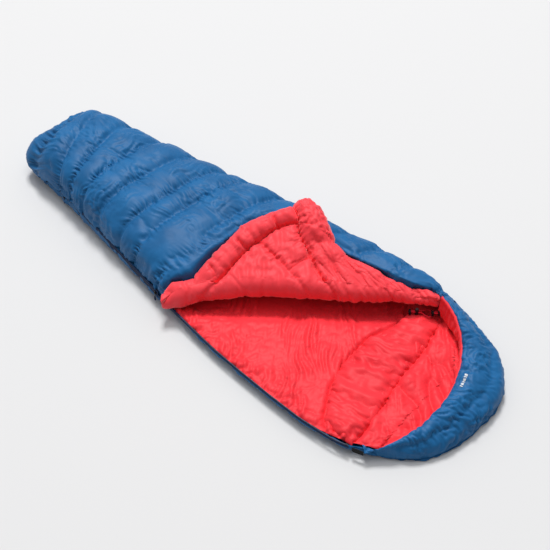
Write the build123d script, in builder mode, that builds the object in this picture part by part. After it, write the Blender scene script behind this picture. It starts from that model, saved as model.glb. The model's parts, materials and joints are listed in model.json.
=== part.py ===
from build123d import *
import os
from math import cos, radians, sin, tan

# A mummy sleeping bag lying on its back, opened down its left side.  The upper quilt is
# folded back over the legs along a slanting line.  +X runs from the foot to the head,
# +Y to the sleeper's right, +Z up.  The floor is z = 0.  All sizes are millimetres.

# ---- driving dimensions ----------------------------------------------------------------
LAYER = 4.0            # thickness that stands for one layer of fabric
GAP = 0.3              # clearance between pieces on different bodies
BASE_TOP = 42.0        # upper face of the base quilt
BAFFLE = 1.0           # mesh wall between two chambers of down

# plan outline of the base quilt, from the foot end of the zip, up the zip side, round
# the hood and back down the closed side: x, y and the corner's radius
OUTLINE = [
    (-965, -112, 70), (-145, -287, 300), (25, -316, 400), (140, -335, 400),
    (272, -349, 500), (418, -362, 500), (556, -370, 400), (700, -365, 300),
    (831, -331, 250), (935, -275, 200), (1015, -205, 120), (1060, -105, 110),
    (1062, 10, 110), (1010, 145, 150), (911, 250, 200), (746, 318, 300),
    (628, 358, 200), (429, 366, 400), (112, 354, 500), (-85, 354, 500),
    (-494, 292, 500), (-831, 244, 400), (-985, 215, 60), (-1045, 150, 60),
    (-1065, 35, 90), (-1045, -65, 60),
]

# cross-sections of the closed upper quilt: x, near side, far side, outer top, inner top
FOOT_SEAM = -850.0
STATIONS = [
    (-1061, -20, 120, 120, 72), (-1035, -70, 160, 172, 96), (-960, -105, 214, 200, 118),
    (-850, -134, 238, 190, 112), (-500, -209, 288, 188, 112), (-145, -285, 342, 190, 92),
    (110, -328, 352, 186, 68), (430, -362, 362, 158, 62), (735, -355, 322, 124, 60),
]
WALL_BOTTOM = 69.0     # lower edge of the zip-side wall of the upper quilt

# the fold: a straight line over the mouth, rising a little towards the closed side
FOLD_START = Vector(-147.0, -258.5, 92.0)
FOLD_HEADING = radians(37.75)
FOLD_RISE = 0.03
FLAP_SLOPE = 20.0      # how steeply the folded-back flap lies, in degrees

# the hood's rim in plan is part of an ellipse
RIM_CENTRE = (600, -70)
RIM_X, RIM_Y = 303.0, 378.0
HOOD_START = 735.0     # x of the seam between the hood and the closed side
HOOD_TOP, HOOD_ROOF = 120.0, 84.0
HOOD_WALL = 48.0

# the zip: a coil in two halves on tapes, with a slider at each end of the closed part
TRACK_START, TRACK_END = (-844.0, -137.8), (-145.0, -287.0)
ZIP_HEIGHT = 52.0
COIL = 2.6             # height and thickness of one half of the coil
COIL_GAP = 0.8         # half the gap that the slider's divider passes through
TAPE, TAPE_DEPTH = 1.0, 13.0
TOP_SLIDER_AT, FOOT_SLIDER_AT = 660.0, 26.0

# the cord locks: a barrel, a plunger in it and a spring under the plunger
CORD = 3.0
LOCK_RADIUS, LOCK_HEIGHT, LOCK_BORE = 7.0, 20.0, 5.2
CORD_HEIGHT = 11.0     # of the cords above a lock's underside
CORD_SPREAD = 2.7      # half the distance between a lock's two cords
COLLAR_TOP = 60.0
COLLAR_LOCK_AT = (593, 247)
HOOD_LOCK_AT = (662, 290)
CORD_HEADING = 40.0    # direction in plan that the cords run in, in degrees

FOLD_DIRECTION = Vector(cos(FOLD_HEADING), sin(FOLD_HEADING), FOLD_RISE).normalized()
LEVEL = Vector(-sin(FOLD_HEADING), cos(FOLD_HEADING), 0)
UPRIGHT = FOLD_DIRECTION.cross(LEVEL)
FOLD_NORMAL = UPRIGHT * cos(radians(FLAP_SLOPE)) - LEVEL * sin(radians(FLAP_SLOPE))
FOLD = Plane(origin=FOLD_START, x_dir=FOLD_DIRECTION, z_dir=FOLD_NORMAL)

TRACK = Vector(TRACK_END[0] - TRACK_START[0], TRACK_END[1] - TRACK_START[1], 0)
ZIP = Plane(
    origin=(TRACK_START[0], TRACK_START[1], ZIP_HEIGHT),
    x_dir=TRACK.normalized(),
    z_dir=Vector(TRACK.Y, -TRACK.X, 0).normalized(),
)

os.makedirs("parts", exist_ok=True)


def save(builder, name):
    """Label a finished piece and write it."""
    builder.part.label = name
    export_step(builder.part, f"parts/{name}.step")


# ---- shapes that several pieces share --------------------------------------------------
def drawn_in(corners, inset):
    """A closed outline's corners, moved inwards so that every side moves by inset."""
    moved = []
    for index, here in enumerate(corners):
        before, after = Vector(*corners[index - 1]), Vector(*corners[(index + 1) % len(corners)])
        here = Vector(*here)
        come, go = (here - before).normalized(), (after - here).normalized()
        side = Vector(0, 0, 1).cross(come) + Vector(0, 0, 1).cross(go)
        moved.append(here + side * (inset / (1 + come.dot(go))))
    return [(point.X, point.Y) for point in moved]


def slab(inset, bottom, top):
    """The base outline, drawn in by inset, between two heights."""
    with BuildPart() as solid:
        with BuildSketch(Plane.XY.offset(bottom)):
            with BuildLine():
                FilletPolyline(
                    *drawn_in([(x, y) for x, y, _ in OUTLINE], inset),
                    radius=[r - inset for *_, r in OUTLINE],
                    close=True,
                )
            make_face()
        extrude(amount=top - bottom)
    return solid.part


def arch(side, top, drop=0.0):
    """The closed upper quilt, drawn in by side at its walls; top picks the height."""
    with BuildPart() as solid:
        for x, near, far, outer, inner in STATIONS:
            low, high = BASE_TOP - drop, top(outer, inner)
            y0, y1 = near + side, far - side
            wide, tall = y1 - y0, high - low
            with BuildSketch(Plane.YZ.offset(x)):
                with BuildLine():
                    roof = Spline(
                        (y0, low),
                        (y0 + 0.02 * wide, low + 0.55 * tall),
                        (y0 + 0.20 * wide, low + 0.90 * tall),
                        (y0 + 0.50 * wide, high),
                        (y1 - 0.20 * wide, low + 0.90 * tall),
                        (y1 - 0.02 * wide, low + 0.55 * tall),
                        (y1, low),
                    )
                    Line(roof @ 1, roof @ 0)
                make_face()
        loft(ruled=True)
        split(bisect_by=Plane.YZ.offset(STATIONS[0][0] + side), keep=Keep.TOP)
    return solid.part


def crescent(inset, bottom, top):
    """The hood's footprint, drawn in by inset, between two heights."""
    with BuildPart() as solid:
        add(slab(inset, bottom, top))
        with BuildSketch(Plane.XY.offset(bottom)):
            with Locations(RIM_CENTRE):
                Ellipse(RIM_X + inset, RIM_Y + inset)
            with Locations((HOOD_START - 1000, 0)):
                Rectangle(2000 + 2 * inset, 1000)
        extrude(amount=top - bottom, mode=Mode.SUBTRACT)
    return solid.part


OUTER = arch(0, lambda outer, inner: outer)
UNDER_SHELL = arch(LAYER, lambda outer, inner: outer - LAYER, 1)
OVER_LINER = arch(40, lambda outer, inner: inner + LAYER, 2)
CAVITY = arch(40 + LAYER, lambda outer, inner: inner, 3)
FOOT_CUT = Plane(origin=(FOOT_SEAM, 0, 0), z_dir=(1, 0, 0))
OVER_FOLD = Plane(origin=FOLD_START, z_dir=FOLD_NORMAL)
BEHIND_FOLD = Plane(origin=FOLD_START, z_dir=FOLD.y_dir)
HOOD_CUT = Plane(origin=(HOOD_START - GAP, 0, 0), z_dir=(1, 0, 0))
FILL_SPACE = split(UNDER_SHELL, bisect_by=OVER_FOLD.offset(-LAYER), keep=Keep.BOTTOM)


def zip_side_clear():
    """Room along the zip for the sliders and the tapes."""
    with BuildPart() as room:
        with BuildSketch(ZIP):
            with Locations((TRACK.length / 2, -8)):
                Rectangle(TRACK.length + 60, 2 * (WALL_BOTTOM - ZIP_HEIGHT + 8))
        extrude(amount=60, both=True)
    return room.part


ZIP_ROOM = zip_side_clear()

# ---- base quilt ------------------------------------------------------------------------
with BuildPart() as base_shell:
    add(slab(0, 0, BASE_TOP - LAYER))
    add(slab(LAYER, LAYER, BASE_TOP), mode=Mode.SUBTRACT)
save(base_shell, "base_shell")

CHAMBER_X = [-900 + 140 * i for i in range(14)]


def baffle_walls(bottom, top):
    """Cross walls that part the down into chambers."""
    with BuildPart() as walls:
        for x in CHAMBER_X:
            with Locations((x, 0, (bottom + top) / 2)):
                Box(BAFFLE, 800, top - bottom)
    return walls.part


with BuildPart() as base_fill:
    add(slab(LAYER, LAYER, BASE_TOP - LAYER))
    add(baffle_walls(0, BASE_TOP), mode=Mode.SUBTRACT)
save(base_fill, "base_fill")

with BuildPart() as base_baffles:
    add(slab(LAYER, LAYER, BASE_TOP - LAYER))
    add(baffle_walls(0, BASE_TOP), mode=Mode.INTERSECT)
save(base_baffles, "base_baffles")

with BuildPart() as base_liner:
    add(slab(0, BASE_TOP - LAYER, BASE_TOP))
save(base_liner, "base_liner")


# ---- upper quilt, from the foot seam to the fold ---------------------------------------
def upper(builder_part, *cut):
    """Keep the stretch between the foot seam, the fold and the hood, less other solids."""
    with BuildPart() as kept:
        add(builder_part)
        for solid in cut:
            add(solid, mode=Mode.SUBTRACT)
        add(ZIP_ROOM, mode=Mode.SUBTRACT)
        split(bisect_by=Plane.XY.offset(BASE_TOP), keep=Keep.TOP)
        split(bisect_by=FOOT_CUT, keep=Keep.TOP)
        split(bisect_by=OVER_FOLD, keep=Keep.BOTTOM)
        split(bisect_by=BEHIND_FOLD, keep=Keep.TOP)
        split(bisect_by=HOOD_CUT, keep=Keep.BOTTOM)
    return kept.part


with BuildPart() as top_shell:
    add(upper(OUTER, FILL_SPACE))
save(top_shell, "top_shell")

TOP_BAFFLE_X = [-710 + 140 * i for i in range(8)]
with BuildPart() as top_walls:
    for wall_x in TOP_BAFFLE_X:
        with Locations((wall_x, 0, 150)):
            Box(BAFFLE, 800, 300)

with BuildPart() as top_fill:
    add(upper(FILL_SPACE, OVER_LINER))
    add(top_walls.part, mode=Mode.SUBTRACT)
save(top_fill, "top_fill")

with BuildPart() as top_baffles:
    add(upper(FILL_SPACE, OVER_LINER))
    add(top_walls.part, mode=Mode.INTERSECT)
save(top_baffles, "top_baffles")

with BuildPart() as top_liner:
    add(upper(OVER_LINER, CAVITY))
save(top_liner, "top_liner")


# ---- foot box --------------------------------------------------------------------------
def foot(builder_part, *cut):
    """Keep the stretch beyond the foot seam, less other solids."""
    with BuildPart() as kept:
        add(builder_part)
        for solid in cut:
            add(solid, mode=Mode.SUBTRACT)
        add(ZIP_ROOM, mode=Mode.SUBTRACT)
        split(bisect_by=FOOT_CUT, keep=Keep.BOTTOM)
        split(bisect_by=Plane.XY.offset(BASE_TOP), keep=Keep.TOP)
    return kept.part


with BuildPart() as foot_shell:
    add(foot(OUTER, UNDER_SHELL))
save(foot_shell, "foot_shell")

with BuildPart() as foot_fill:
    add(foot(UNDER_SHELL, OVER_LINER))
save(foot_fill, "foot_fill")

with BuildPart() as foot_liner:
    add(foot(OVER_LINER, CAVITY))
save(foot_liner, "foot_liner")

# ---- hood ------------------------------------------------------------------------------
HOOD_POCKET = slab(HOOD_WALL + LAYER, BASE_TOP - 1, HOOD_ROOF)
HOOD_LINING = slab(HOOD_WALL, BASE_TOP - 1, HOOD_ROOF + LAYER)

with BuildPart() as hood_shell:
    add(crescent(0, BASE_TOP, HOOD_TOP))
    add(crescent(LAYER, BASE_TOP - 1, HOOD_TOP - LAYER), mode=Mode.SUBTRACT)
    add(HOOD_LINING, mode=Mode.SUBTRACT)
save(hood_shell, "hood_shell")

with BuildPart() as hood_fill:
    add(crescent(LAYER, BASE_TOP, HOOD_TOP - LAYER))
    add(HOOD_LINING, mode=Mode.SUBTRACT)
save(hood_fill, "hood_fill")

with BuildPart() as hood_liner:
    add(crescent(0, BASE_TOP, HOOD_ROOF + LAYER))
    add(HOOD_LINING, mode=Mode.INTERSECT)
    add(HOOD_POCKET, mode=Mode.SUBTRACT)
save(hood_liner, "hood_liner")

HEM = 3.0
with BuildPart() as hood_hem:
    add(slab(LAYER, HOOD_ROOF, HOOD_TOP))
    with BuildSketch(Plane.XY.offset(HOOD_ROOF)):
        with Locations(RIM_CENTRE):
            Ellipse(RIM_X, RIM_Y)
            Ellipse(RIM_X - HEM, RIM_Y - HEM, mode=Mode.SUBTRACT)
        with Locations((HOOD_START - 980, 0)):
            Rectangle(2000, 1000, mode=Mode.SUBTRACT)
    extrude(amount=HOOD_TOP - HOOD_ROOF, mode=Mode.INTERSECT)
save(hood_hem, "hood_hem")

LABEL_AT, LABEL_SIZE = (960, 30), (12, 44, 0.8)
with BuildPart() as care_label:
    with Locations(Location((*LABEL_AT, HOOD_TOP + LABEL_SIZE[2] / 2), (0, 0, -8))):
        Box(*LABEL_SIZE)
save(care_label, "care_label")


# ---- draft collar and the tape inside the zip on the base ------------------------------
def pad(plane, corners, radius, thickness):
    """A flat pad with rounded corners on a plane."""
    with BuildPart() as solid:
        with BuildSketch(plane):
            with BuildLine():
                FilletPolyline(*corners, radius=radius, close=True)
            make_face()
        extrude(amount=thickness)
    return solid.part


LOWER_COLLAR = [
    (728, -340), (775, -328), (768, -150), (766, -40), (735, 120), (712, 225),
    (640, 262), (572, 240), (592, 160), (612, 50), (636, -86), (668, -190), (682, -300),
]
with BuildPart() as lower_collar:
    add(pad(Plane.XY.offset(BASE_TOP), LOWER_COLLAR, 14, COLLAR_TOP - BASE_TOP))
save(lower_collar, "lower_collar")

# ---- the folded-back flap of the upper quilt -------------------------------------------
FLAP_THICK = 32.0
FLAP = [
    (22, GAP), (60, 14), (94, 46), (162, 125), (248, 216), (338, 270), (428, 318),
    (482, 333), (524, 322), (557, 258), (577, 182), (632, 83), (735, 14), (800, GAP),
]
FLAP_RADII = [2] + [7] * 12 + [1]
DRAFT_TUBE = [
    (186, 140), (252, 208), (340, 262), (430, 309), (466, 318),
    (452, 262), (362, 214), (286, 166), (226, 112),
]
UPPER_COLLAR = [
    (480, 322), (516, 312), (546, 256), (566, 180), (622, 80), (715, 16), (600, 8),
    (530, 110), (490, 220),
]


def flap_layer(inset, bottom, top):
    """The flap's outline, drawn in by inset, between two heights over the fold plane."""
    with BuildPart() as solid:
        with BuildSketch(FOLD.offset(bottom)):
            with BuildLine():
                FilletPolyline(*drawn_in(FLAP, -inset), radius=FLAP_RADII, close=True)
            make_face()
        extrude(amount=top - bottom)
    return solid.part


with BuildPart() as flap_shell:
    add(flap_layer(0, GAP, FLAP_THICK - LAYER))
    add(flap_layer(LAYER, LAYER, FLAP_THICK), mode=Mode.SUBTRACT)
save(flap_shell, "flap_shell")

with BuildPart() as flap_fill:
    add(flap_layer(LAYER, LAYER, FLAP_THICK - LAYER))
save(flap_fill, "flap_fill")

with BuildPart() as flap_liner:
    add(flap_layer(0, FLAP_THICK - LAYER, FLAP_THICK))
save(flap_liner, "flap_liner")

with BuildPart() as draft_tube:
    add(pad(FOLD.offset(FLAP_THICK), DRAFT_TUBE, 8, 24))
save(draft_tube, "draft_tube")

with BuildPart() as upper_collar:
    add(pad(FOLD.offset(FLAP_THICK), UPPER_COLLAR, 8, 20))
save(upper_collar, "upper_collar")

# the bent stretch of quilt between the upper quilt and the flap, as a half-round roll
ROLL = [(16, 22), (150, 38), (400, 43), (700, 38), (955, 18)]
with BuildPart() as fold_roll:
    for along, thick in ROLL:
        cut = Plane(
            origin=FOLD_START + FOLD_DIRECTION * along - FOLD.y_dir * GAP,
            x_dir=FOLD.y_dir,
            z_dir=FOLD_DIRECTION,
        )
        with BuildSketch(cut):
            with BuildLine():
                bend = CenterArc((0, 0), thick, 90, 180)
                Line(bend @ 1, bend @ 0)
            make_face()
    loft()
save(fold_roll, "fold_roll")

# ---- zip -------------------------------------------------------------------------------
ZIP_EDGE = [(x, y - 0.75) for x, y, _ in OUTLINE[1:8]]
BASE_EDGE = [(TRACK_START[0] - 4, TRACK_START[1] + 0.1)] + ZIP_EDGE + [(750, -353.0)]
BASE_RADII = [r for *_, r in OUTLINE[1:8]]


def ribbon(thickness, bottom, top):
    """An upright strip along the base's zip edge."""
    with BuildPart() as solid:
        with BuildSketch(Plane.XY.offset(bottom)):
            with BuildLine():
                FilletPolyline(*BASE_EDGE, radius=BASE_RADII)
            trace(line_width=thickness)
        extrude(amount=top - bottom)
    return solid.part


COIL_LOW = ZIP_HEIGHT - COIL_GAP - COIL
with BuildPart() as base_zip_tape:
    add(ribbon(TAPE, COIL_LOW - TAPE_DEPTH, COIL_LOW))
save(base_zip_tape, "base_zip_tape")

with BuildPart() as base_zip_coil:
    add(ribbon(COIL, COIL_LOW, COIL_LOW + COIL))
save(base_zip_coil, "base_zip_coil")

UPPER_TAPE_LENGTH = 676.0
TAPE_PLANE = ZIP.offset(0.75)


def along_zip(start, end, low, high, thickness):
    """A straight strip of the closed zip."""
    with BuildPart() as solid:
        with BuildSketch(TAPE_PLANE):
            with Locations(((start + end) / 2, (low + high) / 2)):
                Rectangle(end - start, high - low)
        extrude(amount=thickness / 2, both=True)
    return solid.part


COIL_HIGH = COIL_GAP + COIL
with BuildPart() as top_zip_tape:
    add(along_zip(-4, UPPER_TAPE_LENGTH, COIL_HIGH, COIL_HIGH + TAPE_DEPTH, TAPE))
save(top_zip_tape, "top_zip_tape")

with BuildPart() as top_zip_coil:
    add(along_zip(-4, UPPER_TAPE_LENGTH, COIL_GAP, COIL_HIGH, COIL))
save(top_zip_coil, "top_zip_coil")

with BuildPart() as foot_stop:
    add(along_zip(-9, -4.05, -5, 5, 4))
save(foot_stop, "foot_stop")

HEAD_STOP_AT = (742, -355.4)
with BuildPart() as head_stop:
    with Locations(Location((*HEAD_STOP_AT, COIL_LOW + COIL + 1.6), (0, 0, 14.5))):
        Box(5, 3.6, 3)
save(head_stop, "head_stop")

# the flap's half of the zip stands off the flap's edge, on the underside
FLAP_EDGE = [(x, y) for x, y in FLAP[2:9]]


def flap_strip(width, low, high, shift):
    """A strip along the flap's zip edge."""
    with BuildPart() as solid:
        with BuildSketch(FOLD.offset(low)):
            with BuildLine():
                FilletPolyline(
                    *[(x - shift * 0.62, y + shift * 0.78) for x, y in FLAP_EDGE[:6]],
                    radius=20,
                )
            trace(line_width=width)
        extrude(amount=high - low)
    return solid.part


with BuildPart() as flap_zip_tape:
    add(flap_strip(TAPE_DEPTH, 14, 14 + TAPE, 12))
    add(flap_layer(0, 0, FLAP_THICK), mode=Mode.SUBTRACT)
save(flap_zip_tape, "flap_zip_tape")

with BuildPart() as flap_zip_coil:
    add(flap_strip(COIL, 13.2, 13.2 + COIL, 20.5))
    add(flap_zip_tape.part, mode=Mode.SUBTRACT)
save(flap_zip_coil, "flap_zip_coil")

PLATE_IN, PLATE_OUT = 1.7, 3.3     # faces of a slider's plates, from the tape's middle
SLIDER_LENGTH, SLIDER_WIDTH = 14.0, 13.0
PIVOT_OUT = 6.0                    # the pull's bar, out from the tape's middle


def slider(at, heading):
    """A slider on the closed zip; heading +1 has its divider towards the head."""
    with BuildPart() as solid:
        with BuildSketch(TAPE_PLANE.offset(PLATE_IN), TAPE_PLANE.offset(-PLATE_OUT)):
            with Locations((at, 0)):
                SlotCenterToCenter(3, SLIDER_WIDTH, rotation=0)
        extrude(amount=PLATE_OUT - PLATE_IN)
        with BuildSketch(TAPE_PLANE):
            with Locations((at + heading * 4.5, 0)):
                Rectangle(3, 1.2)
        extrude(amount=PLATE_IN + 0.2, both=True)
        with BuildSketch(TAPE_PLANE.offset(PLATE_OUT - 0.2)):
            with Locations((at - 3.5, 0), (at + 3.5, 0)):
                Rectangle(2, 4)
        extrude(amount=PIVOT_OUT + 1.4 - PLATE_OUT + 0.2)
        bar = Plane(
            origin=TAPE_PLANE.from_local_coords((at - 3.5, 0, PIVOT_OUT)),
            x_dir=TAPE_PLANE.y_dir,
            z_dir=TAPE_PLANE.x_dir,
        )
        with BuildSketch(bar):
            Circle(1.0)
        extrude(amount=7)
    return solid.part


def pull(at):
    """A hanging pull on a slider's bar."""
    eye_side = Plane(
        origin=TAPE_PLANE.from_local_coords((at - 2.2, 0, PIVOT_OUT)),
        x_dir=TAPE_PLANE.y_dir,
        z_dir=TAPE_PLANE.x_dir,
    )
    with BuildPart() as solid:
        with BuildSketch(eye_side):
            Circle(2.4)
        extrude(amount=4.4)
        with BuildSketch(TAPE_PLANE.offset(PIVOT_OUT - 0.7)):
            with Locations((at, -10)):
                Rectangle(4.4, 17)
            with Locations((at, -16)):
                Rectangle(7, 9)
            with Locations((at, -17.5)):
                Rectangle(3.4, 3, mode=Mode.SUBTRACT)
        extrude(amount=1.4)
        with BuildSketch(eye_side.offset(-1)):
            Circle(1.08)
        extrude(amount=8, mode=Mode.SUBTRACT)
    return solid.part


def pull_tab(at, length):
    """A moulded tab on the end of a pull."""
    with BuildPart() as solid:
        with BuildSketch(TAPE_PLANE.offset(PIVOT_OUT - 1.6)):
            with Locations((at, -20.55 - length / 2)):
                RectangleRounded(8, length, 3)
        extrude(amount=3.2)
    return solid.part


for end, at, heading, length in (("top", TOP_SLIDER_AT, 1, 19), ("foot", FOOT_SLIDER_AT, -1, 13)):
    with BuildPart() as slider_body:
        add(slider(at, heading))
    save(slider_body, f"{end}_slider")
    with BuildPart() as slider_pull:
        add(pull(at))
    save(slider_pull, f"{end}_pull")
    with BuildPart() as slider_tab:
        add(pull_tab(at, length))
    save(slider_tab, f"{end}_pull_tab")

# ---- the tab that guards the head end of the zip ---------------------------------------
TAB_HINGE = (800.0, -339.05)
TAB_HEADING = radians(14.5)
TAB = Plane(
    origin=(TAB_HINGE[0], TAB_HINGE[1], ZIP_HEIGHT - 14),
    x_dir=(-cos(TAB_HEADING), -sin(TAB_HEADING), 0),
    z_dir=(sin(TAB_HEADING), -cos(TAB_HEADING), 0),
)
with BuildPart() as hook_patch:
    with BuildSketch(TAB.offset(0.2)):
        with Locations((15, 0)):
            Rectangle(26, 18)
    extrude(amount=1.2)
save(hook_patch, "hook_patch")

with BuildPart() as guard_tab:
    with BuildSketch(TAB.offset(1.4 + GAP)):
        with Locations((19, 0)):
            RectangleRounded(42, 22, 5)
    extrude(amount=1.6)
save(guard_tab, "guard_tab")


# ---- cords and cord locks --------------------------------------------------------------
def lock_plane(at, height):
    """The frame of a cord lock: x along its cords, z up its plunger."""
    return Plane(
        origin=(at[0], at[1], height),
        x_dir=(cos(radians(CORD_HEADING)), sin(radians(CORD_HEADING)), 0),
        z_dir=(0, 0, 1),
    )


def barrel(plane):
    """The lock's body, with a bore for the plunger and a slot for the cords."""
    with BuildPart() as solid:
        with BuildSketch(plane):
            Circle(LOCK_RADIUS)
        extrude(amount=LOCK_HEIGHT)
        chamfer(solid.edges().group_by(Axis.Z)[-1], 1)
        with BuildSketch(plane.offset(2)):
            Circle(LOCK_BORE)
        extrude(amount=LOCK_HEIGHT, mode=Mode.SUBTRACT)
        side = Plane(
            origin=plane.from_local_coords((-10, 0, CORD_HEIGHT)),
            x_dir=plane.y_dir,
            z_dir=plane.x_dir,
        )
        with BuildSketch(side):
            Rectangle(2 * CORD_SPREAD + CORD + 0.8, CORD + 0.6)
        extrude(amount=20, mode=Mode.SUBTRACT)
    return solid.part


PRESS = 3.0            # travel of a lock's plunger


def plunger(plane):
    """The button, with a window that the cords pass through."""
    window = CORD + 0.5 + PRESS
    with BuildPart() as solid:
        with BuildSketch(plane.offset(7.2)):
            Circle(LOCK_BORE - 0.08)
        extrude(amount=LOCK_HEIGHT + 5 - 7.2)
        side = Plane(
            origin=plane.from_local_coords((-10, 0, CORD_HEIGHT - CORD / 2 - 0.2 + window / 2)),
            x_dir=plane.y_dir,
            z_dir=plane.x_dir,
        )
        with BuildSketch(side):
            Rectangle(2 * CORD_SPREAD + CORD + 0.8, window)
        extrude(amount=20, mode=Mode.SUBTRACT)
    return solid.part


def spring(plane):
    """The coil spring under the plunger."""
    wire, mean, height = 0.6, 3.6, 4.4
    with BuildPart() as solid:
        with BuildLine(plane.offset(2.4)):
            turns = Helix(pitch=height / 4, height=height, radius=mean)
        with BuildSketch(Plane(origin=turns @ 0, z_dir=turns % 0)):
            Circle(wire / 2)
        sweep(path=turns, is_frenet=True)
    return solid.part


def exit_block(plane):
    """The stitched tunnel end that the cords come out of."""
    with BuildPart() as solid:
        with BuildSketch(plane):
            with Locations((-25, 0)):
                Rectangle(8, 16)
        extrude(amount=CORD_HEIGHT + 4)
        side = Plane(
            origin=plane.from_local_coords((-35, 0, CORD_HEIGHT)),
            x_dir=plane.y_dir,
            z_dir=plane.x_dir,
        )
        with BuildSketch(side):
            with Locations((-CORD_SPREAD, 0), (CORD_SPREAD, 0)):
                Circle(CORD / 2 + 0.05)
        extrude(amount=20, mode=Mode.SUBTRACT)
    return solid.part


# a loop of cord in its lock's frame: out of the tunnel, through the lock, round and back
COLLAR_LOOP = [
    (-21, 2.7, 11), (14, 2.7, 11), (26, 7, 8), (42, 16, 3), (56, 8, 2),
    (57, -10, 2), (46, -21, 2), (28, -14, 6), (14, -2.7, 11), (-21, -2.7, 11),
]
HOOD_LOOP = [
    (-21, 2.7, 11), (10, 2.7, 11), (17, 6, 10), (27, 7, 9), (32, 0, 9),
    (27, -7, 9), (17, -6, 10), (10, -2.7, 11), (-21, -2.7, 11),
]


def turn(a, b, c):
    """The angle in degrees that a route turns by at b."""
    return (b - a).get_angle(c - b)


def loop(plane, route, name):
    """A cord tube along a route, with each arc as large as its two runs allow."""
    points = [Vector(*plane.from_local_coords(p)) for p in route]
    radii = []
    for a, b, c in zip(points, points[1:], points[2:]):
        short = min((b - a).length, (c - b).length)
        radii.append(0.45 * short / tan(radians(turn(a, b, c) / 2)))
    with BuildPart() as solid:
        with BuildLine():
            path = FilletPolyline(*points, radius=radii)
        with BuildSketch(Plane(origin=path @ 0, z_dir=path % 0)):
            Circle(CORD / 2)
        sweep(path=path)
    share = solid.part.volume / (3.14159 * CORD * CORD / 4 * path.length)
    print(name, "length", round(path.length, 1), "volume share", round(share, 3))
    print("  radii", [round(r, 1) for r in radii])
    return solid.part


LOCKS = (
    ("collar", COLLAR_LOCK_AT, COLLAR_TOP + 0.2, COLLAR_LOOP),
    ("hood", HOOD_LOCK_AT, COLLAR_TOP + 6, HOOD_LOOP),
)
for owner, at, height, route in LOCKS:
    lock = lock_plane(at, height)
    for piece, make in (
        ("lock_barrel", barrel), ("lock_plunger", plunger),
        ("lock_spring", spring), ("cord_exit", exit_block),
    ):
        with BuildPart() as lock_piece:
            add(make(lock))
        save(lock_piece, f"{owner}_{piece}")
    with BuildPart() as cord:
        add(loop(lock, route, f"{owner}_cord"))
    save(cord, f"{owner}_cord")

print("fold axis", FOLD_START, FOLD_DIRECTION)
print("track", TRACK.normalized(), "length", round(TRACK.length, 1))
for end, at in (("top", TOP_SLIDER_AT), ("foot", FOOT_SLIDER_AT)):
    print(end, "pivot", TAPE_PLANE.from_local_coords((at, 0, PIVOT_OUT)))
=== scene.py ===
import json
import math

import bpy
import numpy as np
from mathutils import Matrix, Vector


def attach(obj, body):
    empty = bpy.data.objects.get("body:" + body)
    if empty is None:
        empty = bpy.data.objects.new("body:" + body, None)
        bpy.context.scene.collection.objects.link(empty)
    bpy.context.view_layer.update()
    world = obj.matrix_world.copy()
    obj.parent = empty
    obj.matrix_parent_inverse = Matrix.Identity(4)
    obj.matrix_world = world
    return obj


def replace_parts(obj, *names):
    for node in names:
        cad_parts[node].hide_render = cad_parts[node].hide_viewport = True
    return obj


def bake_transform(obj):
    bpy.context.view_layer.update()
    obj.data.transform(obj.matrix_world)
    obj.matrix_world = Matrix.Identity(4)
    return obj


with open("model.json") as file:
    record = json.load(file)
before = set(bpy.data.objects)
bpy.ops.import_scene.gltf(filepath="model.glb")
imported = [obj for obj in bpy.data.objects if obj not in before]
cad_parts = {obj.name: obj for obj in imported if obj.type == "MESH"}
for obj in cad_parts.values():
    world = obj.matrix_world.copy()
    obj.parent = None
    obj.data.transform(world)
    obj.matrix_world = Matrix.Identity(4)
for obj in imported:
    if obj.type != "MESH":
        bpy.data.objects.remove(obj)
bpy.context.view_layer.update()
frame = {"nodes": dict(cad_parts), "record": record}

bpy.context.scene.view_settings.view_transform = "Standard"
SCENE = bpy.context.scene.collection

# ---- camera ----------------------------------------------------------------------------
TARGET = Vector((0.085, 0.0625, 0.06))
BACK = Vector((0.4301, -0.5126, 0.7431))
DISTANCE, LENS = 4.5, 79.82
camera = bpy.data.objects.new("camera", bpy.data.cameras.new("camera"))
SCENE.objects.link(camera)
camera.data.lens, camera.data.sensor_width = LENS, 36.0
camera.data.clip_end = 50.0
camera.location = TARGET + BACK * DISTANCE
camera.rotation_euler = BACK.to_track_quat("Z", "Y").to_euler()
bpy.context.scene.camera = camera


# ---- small tools -----------------------------------------------------------------------
TINY = 1e-12


def unit(v):
    """Vectors brought to length 1."""
    return v / np.maximum(np.linalg.norm(v, axis=-1, keepdims=True), TINY)


def normals(p):
    """The normals of a grid of points."""
    return unit(np.cross(np.gradient(p, axis=0), np.gradient(p, axis=1)))


def hermite(xs, ys, x):
    """A smooth curve through a short table."""
    xs, ys = np.asarray(xs, float), np.asarray(ys, float)
    m = np.gradient(ys, xs)
    i = np.clip(np.searchsorted(xs, x) - 1, 0, len(xs) - 2)
    w = xs[i + 1] - xs[i]
    t = ramp((x - xs[i]) / w)
    return ((2 * t - 3) * t * t + 1) * ys[i] + ((t - 2) * t + 1) * t * w * m[i] \
        + (3 - 2 * t) * t * t * ys[i + 1] + (t - 1) * t * t * w * m[i + 1]


def mm(*points):
    """Millimetres as metres."""
    return np.array(points, float) / 1000.0


def table(pairs, x):
    """hermite() on pairs in millimetres, for x in metres."""
    pairs = np.array(pairs, float) / 1000
    return hermite(pairs[:, 0], pairs[:, 1], x)


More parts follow.
